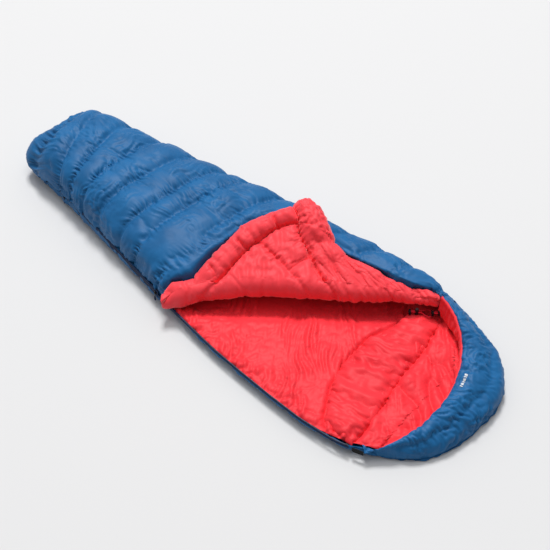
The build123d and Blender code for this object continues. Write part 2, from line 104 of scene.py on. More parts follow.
def resample(line, count, closed=False):
    """Equal steps along a smooth line through the given points."""
    line = np.asarray(line, float)
    if closed:
        line = np.vstack([line, line[:1]])
    knots = np.r_[0, np.cumsum(np.linalg.norm(np.diff(line, axis=0), axis=1))]
    if closed:
        wide = np.vstack([line[-4:-1], line, line[1:4]])
        k = np.r_[knots[-4:-1] - knots[-1], knots, knots[1:4] + knots[-1]]
    else:
        wide, k = line, knots
    fine = np.linspace(0, knots[-1], 4000)
    dense = np.stack([hermite(k, wide[:, i], fine) for i in range(line.shape[1])], -1)
    run = np.r_[0, np.cumsum(np.linalg.norm(np.diff(dense, axis=0), axis=1))]
    at = np.linspace(0, run[-1], count + 1)[:-1] if closed else np.linspace(0, run[-1], count)
    return np.stack([np.interp(at, run, dense[:, i]) for i in range(line.shape[1])], -1)


def waves(points, seed, length, count=24, stretch=(1, 1, 1)):
    """Smooth seeded noise, about -1 to 1."""
    rng = np.random.default_rng(seed)
    total = np.zeros(points.shape[:-1])
    for _ in range(count):
        way = unit(rng.normal(size=3)) * np.array(stretch)
        turn = 2 * np.pi / (length * rng.uniform(0.6, 1.7))
        total = total + np.sin(points @ way * turn + rng.uniform(0, 2 * np.pi))
    return total / np.sqrt(count / 2)


def off(points, line):
    """Distance in plan from points to a line of straight runs."""
    best = np.full(points.shape[:-1], 9.0)
    for a, b in zip(line[:-1], line[1:]):
        run = b - a
        t = ramp(((points - a) @ run) / max(run @ run, TINY))
        best = np.minimum(best, np.linalg.norm(points - a - t[..., None] * run, axis=-1))
    return best


def inside(points, loop):
    """True for points within a closed loop."""
    x, y = points[..., 0], points[..., 1]
    odd = np.zeros(x.shape, bool)
    for a, b in zip(loop, np.roll(loop, -1, axis=0)):
        cross = (a[1] > y) != (b[1] > y)
        slope = (b[0] - a[0]) / (b[1] - a[1] if abs(b[1] - a[1]) > TINY else TINY)
        odd ^= cross & (x < a[0] + slope * (y - a[1]))
    return odd


def softmin(a, b, k):
    """The lesser of a and b, with the corner rounded over k."""
    h = ramp(0.5 + 0.5 * (b - a) / k)
    return b + (a - b) * h - k * h * (1 - h)


def ramp(t):
    """A straight rise from 0 to 1."""
    return np.clip(t, 0, 1)


def ease(t):
    """A rise from 0 to 1 with a gentle start and end."""
    return t * t * (3 - 2 * t)


def bell(d, width):
    """1 where d is 0, fading over the width."""
    return np.exp(-(d / width) ** 2)


def sheet(x, y):
    """Points of a flat sheet, for waves()."""
    return np.stack([x, y, 0 * x], -1)


def outermost(shape):
    """True on the outermost rows and columns of a grid."""
    mask = np.ones(shape, bool)
    mask[1:-1, 1:-1] = False
    return mask


# ---- fabric ----------------------------------------------------------------------------
WEAVE = ((1, 0), (0, 1), (1, 1), (1, -1))
BENDS = ((2, 0), (0, 2))
PASSES = 3  # times that the lengths are mended in each step
KEPT_SPEED = 0.85
FOLDED = 0.9  # two cells in a row resist being closer than this share of their length
STIFF, SHEAR = 0.4, 0.35
LOWEST = 0.001  # height over the floor


def ends(shape, step):
    """Slices that pair each grid point with the one a step away."""
    pairs = []
    for size, move in zip(shape, step):
        low, high = slice(0, size - abs(move)), slice(abs(move), size)
        pairs.append((low, high) if move >= 0 else (high, low))
    return [tuple(p[0] for p in pairs), tuple(p[1] for p in pairs)]


def every(part, axis, start, gap):
    """Every gap-th slice of a part along one axis."""
    part = list(part)
    s = part[axis]
    part[axis] = slice(s.start + start, s.stop, gap)
    return tuple(part)


def settle(base, lift, slack, tie, pins, steps, push, limit=None, target=None):
    """Fabric with slack over a base shape: down pushes it out, ties hold its seams in."""
    shape = base.shape[:2]
    now = base + normals(base) * lift[..., None]
    target = base if target is None else target
    lengths = {}
    for step in WEAVE + BENDS:
        a, b = ends(shape, step)
        e = base[b] - base[a]
        su = (slack[0][a] + slack[0][b]) / 2
        sv = (slack[1][a] + slack[1][b]) / 2
        size = np.linalg.norm(e, axis=-1)
        if step[0] == 0:
            lengths[step] = size * sv
        elif step[1] == 0:
            lengths[step] = size * su
        else:
            lengths[step] = size * np.sqrt((su * su + sv * sv) / 2)
    held = now[pins]
    before = now.copy()
    for _ in range(steps):
        moved = (now - before) * KEPT_SPEED
        before = now.copy()
        out = normals(now)
        now = now + moved + out * push
        if tie is not None:
            gap = ((target - now) * out).sum(-1)
            now = now + out * (gap * tie)[..., None]
        for _ in range(PASSES):
            for step in WEAVE + BENDS:
                a, b = ends(shape, step)
                axis = 0 if step[0] else 1
                wide = max(step)
                whole = tuple(slice(0, n) for n in lengths[step].shape)
                for start in range(2 * wide):
                    first = every(a, axis, start, 2 * wide)
                    second = every(b, axis, start, 2 * wide)
                    want = lengths[step][every(whole, axis, start, 2 * wide)]
                    apart = now[second] - now[first]
                    size = np.linalg.norm(apart, axis=-1)
                    if step in BENDS:
                        error = np.minimum(size - FOLDED * want, 0) * STIFF
                    elif step[0] and step[1]:
                        error = (size - want) * SHEAR
                    else:
                        error = size - want
                    fix = apart * (0.5 * error / np.maximum(size, 1e-9))[..., None]
                    now[first] += fix
                    now[second] -= fix
            now[pins] = held
        now[..., 2] = np.maximum(now[..., 2], LOWEST)
        if limit is not None:
            now = limit(now)
    return now


def faces_of(n, m, wrap=False, flip=False):
    """The quads of an n by m grid; wrap joins the last row to the first."""
    index = np.arange(n * m).reshape(n, m)
    if wrap:
        index = np.vstack([index, index[:1]])
    quads = np.stack([index[:-1, :-1], index[1:, :-1], index[1:, 1:], index[:-1, 1:]], -1)
    return quads[..., ::-1] if flip else quads


def skin(name, points, quads, material, body="root", stands_for=()):
    """A smooth mesh piece from points and quads, riding a body."""
    quads = quads.reshape(-1, 4)
    used = np.unique(quads)
    where = np.zeros(points.reshape(-1, 3).shape[0], int)
    where[used] = np.arange(len(used))
    mesh = bpy.data.meshes.new(name)
    mesh.from_pydata(points.reshape(-1, 3)[used].tolist(), [], where[quads].tolist())
    mesh.validate()
    mesh.shade_smooth()
    mesh.materials.append(material)
    piece = bpy.data.objects.new(name, mesh)
    SCENE.objects.link(piece)
    if body:
        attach(piece, body)
    if stands_for:
        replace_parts(piece, *stands_for)
    return piece


# ---- materials -------------------------------------------------------------------------
def fill_in(node, values):
    """Give a node's inputs their values, by name."""
    for name, value in values.items():
        node.inputs[name].default_value = value


def new_material(name):
    """A material, its nodes and its shader."""
    material = bpy.data.materials.new(name)
    material.use_nodes = True
    return material, material.node_tree, material.node_tree.nodes["Principled BSDF"]


def noise(tree, size, detail=2, roughness=0.5):
    """Noise over an object's own coordinates."""
    where = tree.nodes.new("ShaderNodeTexCoord")
    node = tree.nodes.new("ShaderNodeTexNoise")
    fill_in(node, {"Scale": size, "Detail": detail, "Roughness": roughness})
    tree.links.new(where.outputs["Object"], node.inputs["Vector"])
    return node


def bump(tree, relief, strength, distance):
    """Bumps that follow a noise."""
    node = tree.nodes.new("ShaderNodeBump")
    fill_in(node, {"Strength": strength, "Distance": distance})
    tree.links.new(relief.outputs["Fac"], node.inputs["Height"])
    return node


def cloth(name, colour, dark, sheen, crease, gloss=0.18):
    """Light nylon: slightly uneven colour, fine creases and a weave."""
    material, tree, shader = new_material(name)
    mix = tree.nodes.new("ShaderNodeMix")
    mix.data_type = "RGBA"
    fill_in(mix, {"A": (*dark, 1), "B": (*colour, 1)})
    levels = tree.nodes.new("ShaderNodeMapRange")
    fill_in(levels, {"From Min": 0.3, "From Max": 0.62})
    tree.links.new(noise(tree, 9, 3).outputs["Fac"], levels.inputs["Value"])
    tree.links.new(levels.outputs["Result"], mix.inputs["Factor"])
    tree.links.new(mix.outputs["Result"], shader.inputs["Base Color"])
    fill_in(shader, {"Roughness": 0.5, "Specular IOR Level": gloss,
                     "Sheen Weight": sheen, "Sheen Roughness": 0.4,
                     "Sheen Tint": (*[min(1, 0.45 + c) for c in colour], 1)})
    folds = noise(tree, 26, 3, 0.6)
    folds.noise_type = "RIDGED_MULTIFRACTAL"
    fill_in(folds, {"Distortion": 0.9})
    creases = bump(tree, folds, crease, 0.0035)
    creases.invert = True
    weave = bump(tree, noise(tree, 900), 0.15, 0.0006)
    tree.links.new(creases.outputs["Normal"], weave.inputs["Normal"])
    tree.links.new(weave.outputs["Normal"], shader.inputs["Normal"])
    return material


def plain(name, colour, rough, metal=0.0, bumps=0.1, size=400):
    """Plastic, metal or tape with a fine uneven finish."""
    material, tree, shader = new_material(name)
    fill_in(shader, {"Base Color": (*colour, 1), "Roughness": rough, "Metallic": metal,
                     "Specular IOR Level": 0.5 if metal else 0.2})
    finish = bump(tree, noise(tree, size), bumps, 0.0004)
    tree.links.new(finish.outputs["Normal"], shader.inputs["Normal"])
    return material


BLUE = cloth("blue nylon", (0.010, 0.122, 0.315), (0.008, 0.096, 0.255), sheen=0.05, crease=0.34,
             gloss=0.22)
# One red fabric in two copies. The lighter copy with strong sheen is painted light on the raised flap;
# the darker copy with little sheen is painted shade on the lining, lower collar and hood lining deep
# inside the bag.
RED = cloth("red nylon", (0.95, 0.060, 0.078), (0.90, 0.050, 0.066), sheen=0.60, crease=0.4)
SHADED_RED = cloth("red nylon painted shade", (0.88, 0.036, 0.050), (0.78, 0.026, 0.040), sheen=0.20,
                 crease=0.55)
CORD_RED = plain("red cord", (0.80, 0.02, 0.05), 0.7, bumps=0.5, size=700)
NAVY = plain("navy tape", (0.006, 0.022, 0.075), 0.75, bumps=0.4, size=900)
COIL = plain("navy coil", (0.005, 0.018, 0.055), 0.4)
BLACK = plain("black tape", (0.010, 0.010, 0.012), 0.8, bumps=0.5, size=900)
HOOKS = plain("hook tape", (0.012, 0.012, 0.013), 0.9, bumps=0.9, size=1200)
DARK = plain("black plastic", (0.010, 0.010, 0.011), 0.38)
BUTTON = plain("grey plastic", (0.050, 0.050, 0.055), 0.42)
STEEL = plain("spring steel", (0.55, 0.55, 0.57), 0.3, metal=1.0)
PAINT = plain("black paint", (0.012, 0.012, 0.014), 0.32, metal=0.3)
DOWN = plain("down", (0.85, 0.85, 0.82), 0.9, bumps=0.6, size=60)
MESH = plain("mesh", (0.8, 0.8, 0.8), 0.8, bumps=0.6, size=800)

# ---- outline of the bag in plan --------------------------------------------------------
OUTLINE = mm(
    (-965, -112), (-850, -136), (-500, -209), (-145, -282), (25, -314), (140, -333),
    (272, -348), (418, -361), (556, -368), (700, -352), (812, -306), (892, -261),
    (962, -200), (1001, -113), (1023, 8), (1016, 155), (934, 255), (768, 315),
    (640, 354), (429, 366), (112, 356), (-85, 351), (-494, 291), (-831, 240),
    (-985, 214), (-1030, 186), (-1052, 130), (-1058, 35), (-1042, -52), (-1000, -98),
)
ROUND = 480
LOOP = resample(OUTLINE, ROUND, closed=True)
LOOP_OUT = unit(np.stack([np.gradient(np.r_[LOOP[-1:, 1], LOOP[:, 1], LOOP[:1, 1]])[1:-1],
                          -np.gradient(np.r_[LOOP[-1:, 0], LOOP[:, 0], LOOP[:1, 0]])[1:-1]], -1))

NEAR = [(-1065, 0), (-1055, -56), (-1035, -86), (-1005, -99), (-965, -110), (-850, -136),
        (-500, -205), (-145, -274), (25, -315), (140, -334), (272, -348), (418, -361),
        (556, -369), (700, -362), (831, -329), (935, -273), (1010, -198), (1045, -120)]
FAR = [(-1065, 120), (-1058, 170), (-1040, 206), (-1005, 228), (-965, 232), (-831, 237),
       (-494, 279), (-85, 334), (112, 346), (300, 362), (429, 367), (540, 366), (628, 350),
       (746, 298), (831, 262), (911, 247), (1005, 145), (1045, 60)]
TOP = [(-1065, 176), (-1000, 185), (-960, 199), (-850, 202), (-500, 198), (-145, 192),
       (110, 193), (300, 194), (430, 199), (560, 196), (640, 184), (800, 166)]
POWER = [(-1065, 3200), (-850, 3400), (-500, 3100), (-145, 3100), (110, 3000), (800, 3100)]
SEAMS = mm(-1062, -1005, -915, -800, -675, -540, -400, -300, -150, -5, 140, 285, 415, 560, 745)
PITCH = 0.0055
FOOT_X = -1.065

# the fold, in its own frame: along it, up the flap's slope, and out of that slope
FOLD_START = np.array([-0.147, -0.2585, 0.092])
HEADING, SLOPE = math.radians(37.75), math.radians(20)
ALONG = unit(np.array([math.cos(HEADING), math.sin(HEADING), 0.03]))
LEVEL = np.array([-math.sin(HEADING), math.cos(HEADING), 0.0])
OUT = np.cross(ALONG, LEVEL) * math.cos(SLOPE) - LEVEL * math.sin(SLOPE)
RISE = np.cross(OUT, ALONG)


def from_fold(a, b, h):
    """Points given in the fold's own frame."""
    return FOLD_START + a[..., None] * ALONG + b[..., None] * RISE + h[..., None] * OUT


def to_fold(p):
    """The places of points in the fold's own frame."""
    q = p - FOLD_START
    return q @ ALONG, q @ RISE, q @ OUT


FLAP_EDGE = mm(
    (-16, -26), (14, 12), (58, 22), (92, 34), (126, 84), (158, 126), (212, 184), (253, 236),
    (331, 280), (436, 322), (468, 346), (498, 352), (524, 334), (552, 304), (572, 255),
    (598, 180), (640, 132), (735, 78), (818, 26), (875, 5), (940, -4), (990, -28),
)
FLAP_LOOP = np.vstack([FLAP_EDGE, [[0.96, -0.4], [-0.01, -0.4]]])


def bed(p):
    """Hold the upper quilt under the flap, and let it rise beyond the flap's edge."""
    a, b, h = to_fold(p)
    ab = np.stack([a, b], -1)
    away = np.where(inside(ab, FLAP_LOOP), 0.0, off(ab, FLAP_LOOP))
    top = -0.003 + 0.050 * (1 - np.exp(-away / 0.008)) + 0.35 * away
    return p + (softmin(h, top, 0.012) - h)[..., None] * OUT


# ---- upper quilt -----------------------------------------------------------------------
def sections(xs, columns):
    """Cross-sections of the closed upper quilt, with equal steps round each."""
    theta = np.linspace(0, np.pi, 240)
    near, far, top = table(NEAR, xs), table(FAR, xs), table(TOP, xs)
    low = 0.006 + 0.047 * ease(ramp((xs + 0.99) / 0.07))
    cap = ramp((-1.0 - xs) / 0.065)
    shrink = (1 - cap ** 1.9) ** 0.5
    square = table(POWER, xs)
    rows = []
    for x, n, f, z, l, s, power in zip(xs, near, far, top, low, shrink, 2 / square):
        y = (n + f) / 2 - (f - n) / 2 * np.sign(np.cos(theta)) * np.abs(np.cos(theta)) ** power
        share = (y - n) / (f - n)
        foot = l + (0.03 - l) * share * ramp((x + 1.0) / 0.1)
        height = foot + (z * s - foot) * np.abs(np.sin(theta)) ** power * (z * s > foot)
        run = np.r_[0, np.cumsum(np.hypot(np.diff(y), np.diff(height)))]
        at = np.linspace(0, run[-1], columns)
        y, height = np.interp(at, run, y), np.interp(at, run, height)
        belly = np.sin(np.pi * ramp(height / 0.20))
        share = (y - n) / (f - n)
        end = ramp((-0.88 - x) / 0.12)
        y = y + belly * (0.020 * share ** 3 - 0.026 * end * (1 - share) ** 3)
        rows.append(np.stack([y, height], -1))
    return np.array(rows)


def quilt_rows(pitch):
    """Row stations, and each row's distance to the seams on its two sides."""
    s, d, w = [], [], []
    for a, b in zip(SEAMS[:-1], SEAMS[1:]):
        n = max(4, int(round((b - a) / pitch)))
        t = np.arange(n) / n
        s += list(a + (b - a) * t)
        d += list(np.minimum(t, 1 - t) * (b - a))
        w += [b - a] * n
    return np.array(s + [SEAMS[-1]]), np.array(d + [0]), np.array(w + [w[-1]])


def quilt_shape(pitch, columns):
    """The closed upper quilt as a grid, with quilt_rows() for its rows."""
    s, d, w = quilt_rows(pitch)
    xs = np.linspace(FOOT_X, 0.98, 420)
    shelf = sections(xs, columns)
    y0 = np.stack([np.interp(s, xs, shelf[:, j, 0]) for j in range(columns)], -1)
    bias = 0.14 - 0.52 * ramp((-0.62 - s[:, None]) / 0.30)
    lean = bias * (y0 - 0.07) + 0.5 * ramp(y0 - 0.12) ** 2
    fade = ramp((s + 1.06) / 0.12)[:, None]
    x = s[:, None] + lean * fade * ramp((s[:, None] + 1.12) / 0.2)
    x = np.maximum(x, FOOT_X + 0.0001)
    y, z = (np.stack([np.interp(x[:, j], xs, shelf[:, j, k]) for j in range(columns)], -1)
            for k in (0, 1))
    p = np.stack([x, y, z], -1)
    belly = np.sin(np.pi * ramp(p[..., 2] / 0.20))
    lobe = 0.4 + 0.6 * bell(p[..., 1] + 0.05, 0.09)
    p[..., 0] -= 0.046 * belly * lobe * ramp((-0.96 - s[:, None]) / 0.08)
    return p, s, d, w


def billow(w):
    """Sharp valleys between rounded ridges."""
    return np.abs(w) ** 0.65 - 0.7


def wrinkle(points, height):
    """Fine folds, put on after the fabric has settled."""
    return points + normals(points) * height[..., None]


COLUMNS = 212
IN_MOST, OUT_MOST = -0.006, 0.022  # how far the settled fabric may leave its form
HEAD_END = 0.72
quilt, station, seam_off, chamber = quilt_shape(PITCH, COLUMNS)
quilt = bed(quilt)
run = np.cumsum(np.linalg.norm(np.gradient(quilt, axis=1), axis=-1), axis=1)
flat = sheet(np.broadcast_to(station[:, None], run.shape), run)
d = np.broadcast_to(seam_off[:, None], quilt.shape[:2])
w = np.broadcast_to(chamber[:, None], quilt.shape[:2])
across = np.linspace(0, 1, COLUMNS)[None, :] + 0 * d
edge = ramp(np.minimum(across, 1 - across) / 0.07)
wide_puff = ramp((across - 0.03) / 0.30) * np.clip((1 - across) / 0.10, 0.3, 1)
puff = 0.0095 * np.sin(np.pi * np.clip(d / w, 0, 0.5)) ** 0.7 * (w / 0.13) ** 0.5 * wide_puff
strong = np.clip(0.75 + 0.5 * waves(flat, 7, 0.25, 12), 0.15, 1.6)
gather = waves(flat, 3, 0.030, 28, (0.22, 1, 1)) * np.exp(-d / 0.03)
crumple = waves(flat, 5, 0.09, 24, (0.8, 1, 1)) + 0.7 * waves(flat, 6, 0.045, 24, (0.5, 1, 1))
lift = puff + 0.0030 * gather * strong + 0.0028 * crumple * edge
slack_v = 1.025 + 0.05 * np.exp(-d / 0.028)
slack_u = 1.015 + 0 * d
tie = 0.45 * bell(d, 0.006)
pins = np.zeros(d.shape, bool)
pins[:, 0] = pins[:, -1] = pins[0] = True
sunk = quilt - normals(quilt) * 0.002
form, form_out = quilt.copy(), normals(quilt)


def held(p):
    """Keep the fabric near its form, so that slack can't gather in the hollow by the flap."""
    p = bed(p)
    gap = ((p - form) * form_out).sum(-1)
    return p + (np.clip(gap, IN_MOST, OUT_MOST) - gap)[..., None] * form_out


quilt = settle(quilt, lift, (slack_u, slack_v), tie, pins, steps=16, push=0.00010, limit=held,
               target=sunk)
warp = flat + 0.012 * sheet(waves(flat, 11, 0.12, 10), waves(flat, 12, 0.12, 10))
ticks = billow(waves(warp, 13, 0.016, 18, (0.12, 1, 1))) * np.exp(-(d / 0.019) ** 1.6)
ticks *= np.clip(waves(flat, 14, 0.16, 12) + 0.9, 0.15, 1.6)
long_folds = billow(waves(warp, 15, 0.034, 14, (1, 0.22, 1)))
long_folds *= np.clip(waves(flat, 16, 0.20, 12) + 0.1, 0, 1.2)
cross_folds = billow(waves(warp, 17, 0.030, 14, (0.25, 1, 1)))
cross_folds *= np.clip(waves(flat, 18, 0.18, 12), 0, 1.2)
wall_folds = billow(waves(warp, 19, 0.022, 16, (1, 0.10, 1))) * bell(across, 0.13)
crush = billow(waves(warp, 79, 0.042, 18)) * np.clip(waves(flat, 80, 0.2, 10) + 0.1, 0, 1.2)
detail = 0.0082 * ticks + 0.0038 * long_folds + 0.0030 * cross_folds + 0.0036 * wall_folds \
    + 0.0024 * crush
detail *= ramp(np.minimum(across, 1 - across) / 0.02) * (np.arange(len(d))[:, None] > 2)
quilt = bed(wrinkle(quilt, detail))
# the foot end's edge is drawn in towards a point near the floor
END = np.array([-1.050, 0.05, 0.005])
skirt = [END + (quilt[0] - END) * np.array([t ** 0.5, 0.9 + 0.1 * t, t])
         for t in (0.02, 0.2, 0.45, 0.7, 0.9)]
quilt = np.concatenate([np.array(skirt), quilt])
side = (quilt - FOLD_START) @ LEVEL
quads = faces_of(*quilt.shape[:2]).reshape(-1, 4)
a, b, h = to_fold(quilt)
plane = np.stack([a, b], -1)
covered = inside(plane, FLAP_LOOP) * ramp((off(plane, FLAP_EDGE) - 0.012) / 0.03)
covered = covered * ramp((0.17 - side) / 0.09)
quilt += ((np.maximum(h, -0.006 - 0.03 * ramp(side)) - h) * covered)[..., None] * OUT
cut = -0.045 * ramp((0.07 - a) / 0.05) - 0.040 * ramp((a - 0.80) / 0.10)
hidden = (side < cut) | (quilt[..., 0] > HEAD_END)
quads = quads[~hidden.reshape(-1)[quads].any(axis=1)]
skin("upper_quilt", quilt, quads, BLUE,
     stands_for=("top_shell", "top_fill", "top_baffles", "foot_shell", "foot_fill"))

# the lining under the upper quilt, seen only in the gap below the fold
ceiling, station, seam_off, chamber = quilt_shape(0.018, 60)
inward = normals(ceiling)
span = np.linspace(0, 1, 60)[None, :]
thick = 0.050 * np.clip(np.minimum(span, 1 - span) / 0.12, 0.1, 1)
ceiling = bed(ceiling) - inward * thick[..., None]
a, b, h = to_fold(ceiling)
lowest = np.clip(-0.040 - 0.25 * np.clip(b, 0, 0.2), None, -0.040)
ceiling += (np.where(a > -0.05, softmin(h, lowest, 0.02), h) - h)[..., None] * OUT
ceiling -= inward * 0.006 * np.sin(np.pi * np.clip(seam_off / chamber, 0, 0.5))[:, None, None]
ceiling[..., 2] = np.maximum(ceiling[..., 2], 0.050)
side = (ceiling - FOLD_START) @ LEVEL
quads = faces_of(*ceiling.shape[:2], flip=True).reshape(-1, 4)
quads = quads[side.reshape(-1)[quads].min(axis=1) > 0.02]
skin("upper_lining", ceiling, quads, RED,
     stands_for=("top_liner", "foot_liner"))

# ---- base quilt ------------------------------------------------------------------------
CHAMBER, SLANT = 0.1375, 0.14


def seam_gap(p):
    """Distance from the nearest seam between the base's chambers."""
    return np.abs(((p[..., 0] - SLANT * p[..., 1] + 0.005) / CHAMBER + 0.5) % 1 - 0.5) * CHAMBER


def edge_height(p):
    """Height of the base's upper edge round the outline."""
    x, y = p[..., 0], p[..., 1]
    mid = 0.15 * x + 0.03
    nearside = y < mid
    low = table([(-1070, 7), (-990, 8), (-930, 40), (-860, 48), (-145, 48), (-60, 40), (300, 38),
                 (700, 38), (790, 36), (850, 14), (1070, 10)], x)
    far = table([(-1070, 7), (-990, 8), (-930, 24), (560, 26), (660, 14), (1070, 10)], x)
    return np.where(nearside, low, far)


opened = ramp((LOOP[:, 0] + 0.17) / 0.06) * ramp((0.80 - LOOP[:, 0]) / 0.06)
opened = opened * (LOOP[:, 1] < -0.2)
by_tab = bell(LOOP[:, 0] - 0.745, 0.05) * (LOOP[:, 1] < -0.2)
height = edge_height(LOOP)
profile = []
for share, shift_closed, shift_open in (
        (1.0, -0.004, -0.004), (0.97, 0.000, 0.000), (0.80, 0.004, 0.003), (0.60, 0.006, 0.001),
        (0.40, 0.005, -0.005), (0.22, -0.001, -0.018), (0.10, -0.010, -0.035),
        (0.04, -0.024, -0.055)):
    shift = shift_closed + (shift_open - shift_closed) * opened + 0.012 * by_tab
    profile.append(np.c_[LOOP + LOOP_OUT * shift[:, None], height * share + 0.0015])
wall_rings = len(profile)
spine = np.c_[np.clip(LOOP[:, 0], -0.86, 0.84),
              np.interp(LOOP[:, 0], [-1, 0, 1], [0.05, 0.03, -0.02])]
edge_in = profile[-1][:, :2]
for t in np.linspace(0, 1, 26)[1:]:
    profile.append(np.c_[edge_in + (spine - edge_in) * t, np.full(ROUND, 0.002)])
base = np.stack(profile, 1)
seam = bell(seam_gap(base), 0.012)
ring = np.arange(base.shape[1])
wall = ramp(ring / 3) * (ring < wall_rings)
pucker = waves(base, 21, 0.035, 24, (1, 1, 0.3)) * (1 + seam)
out3 = np.concatenate([LOOP_OUT, np.zeros((ROUND, 1))], -1)[:, None, :]
base += out3 * ((0.0016 * pucker - 0.004 * seam) * wall)[..., None]
base[..., 2] += (ring >= wall_rings) * (0.006 * seam + 0.0015 * (1 + waves(base, 22, 0.05, 20)))
base[..., 2] = np.maximum(base[..., 2], 0.0008)
skin("base_quilt", base, faces_of(*base.shape[:2], wrap=True), BLUE,
     stands_for=("base_shell", "base_fill", "base_baffles"))

# the lining of the base, creased across the fold's heading
COLLAR_FOOT = mm((566, 240), (556, 150), (524, 48), (522, -39), (528, -113), (558, -207),
                 (604, -290), (636, -345))
COLLAR_HEAD = mm((662, 284), (682, 253), (690, 203), (706, 145), (709, 91), (719, -42),
                 (736, -138), (750, -240), (752, -340))
OVER_SHELL, HOOD_FROM = 0.0135, 0.83
rows = np.r_[np.linspace(-1.03, -0.20, 50), np.linspace(-0.20, 1.000, 260)[1:]]
n_rows, n_cols = len(rows), 150
grid = []
closed_side = LOOP[:, 1] > np.interp(LOOP[:, 0], [-1.0, -0.9, 0.9, 1.0],
                                     [0.035, 0.03, 0.03, 0.010])
near, far = (np.interp(rows, *LOOP[part][np.argsort(LOOP[part, 0])].T)
             for part in (~closed_side, closed_side))
for x, n, f in zip(rows, near, far):
    y = np.linspace(n + 0.0035 + 0.016 * (x > HOOD_FROM), f - 0.006, n_cols)
    grid.append(np.stack([np.full(n_cols, x), y], -1))
grid = np.array(grid)
to_edge = off(grid, np.vstack([LOOP, LOOP[:1]]))
roll_over = ramp(to_edge / 0.045)
height = 0.040 + 0.008 * np.sqrt(ramp(1 - (1 - roll_over) ** 2))
height -= 0.03 * ramp((-0.93 - grid[..., 0]) / 0.06) * (roll_over < 0.5)
height -= 0.012 * ramp((grid[..., 0] - 0.80) / 0.04) * (1 - roll_over)
lining = np.concatenate([grid, height[..., None]], -1)
# down chambers of the base, faint through the lining
lining[..., 2] += 0.0022 * np.sin(np.pi * seam_gap(lining) / CHAMBER) * roll_over
for line in (COLLAR_FOOT, COLLAR_HEAD):
    dent = 0.012 * bell(off(grid, line), 0.010)
    lining[..., 2] -= dent * ramp(to_edge / 0.03)
to_fold_line = (lining - FOLD_START) @ LEVEL
turned = sheet((lining - FOLD_START) @ ALONG, to_fold_line * 0.09)
# it sinks under the flap
sink = ramp((to_fold_line + 0.125) / 0.115)
lining[..., 2] -= 0.036 * ease(sink) * ramp(to_edge / 0.08)
lift = 0.0030 * waves(turned, 31, 0.030, 30, (1, 1, 1)) + 0.0016 * waves(turned, 32, 0.016, 30)
swirl = waves(lining, 33, 0.05, 24, (1, 1, 0))
shut = np.exp(-to_edge / 0.05)
lift = lift * (0.55 + 0.35 * waves(lining, 34, 0.3, 10)) + 0.0016 * swirl * (0.4 + shut)
pins = outermost(lift.shape)
lift[pins] = 0
slack_u = 1.030 + 0.02 * shut
slack_v = 1.018 + 0.02 * shut
lining = settle(lining, lift, (slack_u, slack_v), 0.06 + 0 * lift, pins, steps=14, push=0.00003)
warp = turned + 0.006 * sheet(waves(lining, 35, 0.16, 10), 0 * shut)
fine = 0.0070 * billow(waves(warp, 36, 0.030, 14))
fine *= np.clip(waves(lining, 37, 0.2, 10) + 0.7, 0, 1.4)
fine += 0.0052 * billow(waves(lining, 38, 0.05, 14, (1, 1, 0))) * (0.35 + 1.2 * shut)
broad = sheet(turned[..., 0], turned[..., 1] * 4)
headroom = ramp((lining[..., 0] - 0.70) / 0.05) * ramp((to_edge - 0.055) / 0.05)
fine += 0.018 * billow(waves(broad, 39, 0.10, 9)) * headroom
lining = wrinkle(lining, fine * ramp(to_edge / 0.01))
# it stays over the base's lower shell, and under the hood
lowest = np.where(to_edge > 0.06, OVER_SHELL, -1.0)
highest = np.where(lining[..., 0] > HOOD_FROM, 0.026 + 0.4 * to_edge, 1.0)
lining[..., 2] = np.minimum(np.maximum(lining[..., 2], lowest), highest)
# the base lining takes the darker red copy: painted shade
skin("base_lining", lining, faces_of(n_rows, n_cols), SHADED_RED,
     stands_for=("base_liner",))


# ---- the lower half of the neck collar -------------------------------------------------
def lower_collar(rows, cols, level, rise):
    """A tube of down sewn along both edges, with gathers at the seams."""
    a, b = resample(COLLAR_FOOT, rows), resample(COLLAR_HEAD, rows)
    t = (0.5 - 0.5 * np.cos(np.pi * np.linspace(0, 1, cols)))[None, :]
    p = a[:, None] + (b - a)[:, None] * t[..., None]
    p = np.concatenate([p, np.full((rows, cols, 1), level)], -1)
    d = np.minimum(t, 1 - t) * np.linalg.norm(b - a, axis=1)[:, None]
    row = np.arange(rows)[:, None]
    tip = ramp(np.minimum(row, rows - 1 - row) / 6)
    bulge = np.sqrt(ramp(1 - (2 * t - 1) ** 2)) * np.sqrt(tip)
    base = p.copy()
    base[..., 2] += rise * bulge - rise * (1 - bulge)
    run = np.cumsum(np.linalg.norm(np.gradient(p, axis=0), axis=-1), axis=0)
    flat = sheet(run, d)
    lift = 0.0008 * waves(flat, 41, 0.024, 26, (1, 0.25, 1)) * np.exp(-d / 0.025)
    lift += 0.0030 * waves(flat, 42, 0.07, 20, (1, 0.9, 1))
    pins = outermost(d.shape)
    lift[pins] = 0
    slack = (1.05 + 0.05 * np.exp(-d / 0.03), 1.03 + 0 * d)
    p = settle(base, lift, slack, None, pins, steps=10, push=0.00006)
    plan = sheet(run, np.cumsum(np.linalg.norm(np.gradient(p, axis=1), axis=-1), axis=1))
    fine = 0.0050 * billow(waves(plan, 43, 0.048, 14, (1, 0.55, 1)))
    fine *= np.clip(waves(plan, 44, 0.15, 10) + 0.7, 0, 1.3)
    fine += 0.0016 * billow(waves(plan, 45, 0.022, 14, (1, 0.2, 1))) * np.exp(-d / 0.02)
    p = wrinkle(p, fine * ramp(d / 0.012))
    # the lower collar takes the darker red copy: painted shade
    return skin("lower_collar_tube", p, faces_of(rows, cols), SHADED_RED,
                stands_for=("lower_collar",))


lower_collar(rows=130, cols=36, level=0.050, rise=0.013)

# ---- hood ------------------------------------------------------------------------------
HOOD_ROWS = 230
RIM_CENTRE, RIM_X, RIM_Y = np.array([0.600, -0.070]), 0.303, 0.378


def rim_turn(x, y):
    """The angle of a point on the rim of the face opening, which is an ellipse."""
    return math.atan2((y - RIM_CENTRE[1]) / RIM_Y, (x - RIM_CENTRE[0]) / RIM_X)


